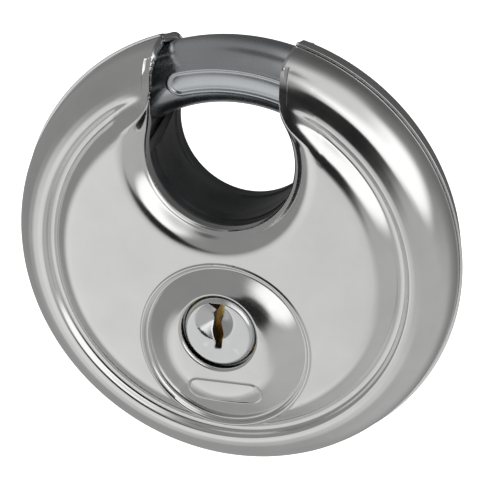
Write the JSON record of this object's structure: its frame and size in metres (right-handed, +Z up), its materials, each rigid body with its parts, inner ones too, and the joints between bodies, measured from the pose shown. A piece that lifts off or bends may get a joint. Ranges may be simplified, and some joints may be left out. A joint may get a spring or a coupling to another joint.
{
  "type": "disc padlock",
  "caption": "Round flat padlock with a steel disc body, a throat at the top crossed by a short round shackle that turns back into the body, and a keyed plug in a raised boss.",
  "frame": {"origin": "hang point: the middle of the shackle's inner crown, where a hasp or chain carries the locked padlock", "axes": "+Z up from the keyhole to the shackle; the keyhole faces -Y and the plain back faces +Y, so Y is the disc's axis; +X is to the right as the keyhole is faced, the side the shackle draws back into"},
  "size_m": [0.0694, 0.0227, 0.068],
  "materials": {
    "steel_sheet": "satin stainless sheet with polished rolled edges",
    "plated_bar": "bright plated hardened bar",
    "hard_steel": "ground hardened steel",
    "dark_lining": "charcoal satin coating",
    "plated_brass": "nickel plated",
    "brass": "machined",
    "spring_steel": "drawn wire",
    "cast_zinc": "as cast"
  },
  "bodies": {
    "lock_body": {"front_shell": "steel_sheet", "back_shell": "steel_sheet", "throat_liner": "dark_lining", "cylinder_housing": "brass", "drill_plate": "hard_steel", "chamber_cover": "brass", "nose_socket": "cast_zinc", "shackle_guide": "cast_zinc", "base_plate": "cast_zinc", "spacer_left": "brass", "housing_screw_left": "spring_steel", "spacer_right": "brass", "housing_screw_right": "spring_steel", "pin_spring_1": "spring_steel", "pin_spring_2": "spring_steel", "pin_spring_3": "spring_steel", "pin_spring_4": "spring_steel", "pin_spring_5": "spring_steel"},
    "shackle": {"shackle": "plated_bar", "carrier_plate": "cast_zinc", "carrier_rivet_1": "spring_steel", "carrier_rivet_2": "spring_steel"},
    "plug": {"cylinder_plug": "plated_brass", "driver_cam": "cast_zinc", "retaining_clip": "spring_steel"},
    "key_pin_1": {"key_pin_1": "brass"},
    "driver_pin_1": {"driver_pin_1": "brass"},
    "key_pin_2": {"key_pin_2": "brass"},
    "driver_pin_2": {"driver_pin_2": "brass"},
    "key_pin_3": {"key_pin_3": "brass"},
    "driver_pin_3": {"driver_pin_3": "brass"},
    "key_pin_4": {"key_pin_4": "brass"},
    "driver_pin_4": {"driver_pin_4": "brass"},
    "key_pin_5": {"key_pin_5": "brass"},
    "driver_pin_5": {"driver_pin_5": "brass"}
  },
  "joints": [
    {"name": "shackle_turn", "type": "hinge", "parent": "lock_body", "child": "shackle", "pos_m": [0, 0, -0.0226], "axis": [0, 1, 0], "range_deg": [0, 60]},
    {"name": "plug_turn", "type": "hinge", "parent": "lock_body", "child": "plug", "pos_m": [0, 0, -0.0322], "axis": [0, 1, 0], "range_deg": [0, 120]},
    {"name": "key_pin_1_lift", "type": "slide", "parent": "plug", "child": "key_pin_1", "axis": [0, 0, 1], "range_m": [0, 0.0012]},
    {"name": "driver_pin_1_press", "type": "slide", "parent": "lock_body", "child": "driver_pin_1", "axis": [0, 0, 1], "range_m": [-0.0012, 0], "stiffness_N_per_m": 60, "springref_m": 0.002, "deforming": ["pin_spring_1"]},
    {"name": "key_pin_2_lift", "type": "slide", "parent": "plug", "child": "key_pin_2", "axis": [0, 0, 1], "range_m": [0, 0.0012]},
    {"name": "driver_pin_2_press", "type": "slide", "parent": "lock_body", "child": "driver_pin_2", "axis": [0, 0, 1], "range_m": [-0.0012, 0], "stiffness_N_per_m": 60, "springref_m": 0.002, "deforming": ["pin_spring_2"]},
    {"name": "key_pin_3_lift", "type": "slide", "parent": "plug", "child": "key_pin_3", "axis": [0, 0, 1], "range_m": [0, 0.0012]},
    {"name": "driver_pin_3_press", "type": "slide", "parent": "lock_body", "child": "driver_pin_3", "axis": [0, 0, 1], "range_m": [-0.0012, 0], "stiffness_N_per_m": 60, "springref_m": 0.002, "deforming": ["pin_spring_3"]},
    {"name": "key_pin_4_lift", "type": "slide", "parent": "plug", "child": "key_pin_4", "axis": [0, 0, 1], "range_m": [0, 0.0012]},
    {"name": "driver_pin_4_press", "type": "slide", "parent": "lock_body", "child": "driver_pin_4", "axis": [0, 0, 1], "range_m": [-0.0012, 0], "stiffness_N_per_m": 60, "springref_m": 0.002, "deforming": ["pin_spring_4"]},
    {"name": "key_pin_5_lift", "type": "slide", "parent": "plug", "child": "key_pin_5", "axis": [0, 0, 1], "range_m": [0, 0.0012]},
    {"name": "driver_pin_5_press", "type": "slide", "parent": "lock_body", "child": "driver_pin_5", "axis": [0, 0, 1], "range_m": [-0.0012, 0], "stiffness_N_per_m": 60, "springref_m": 0.002, "deforming": ["pin_spring_5"]}
  ],
  "couplings": [
    {"joint": "plug_turn", "follows": "shackle_turn", "ratio": 2}
  ]
}
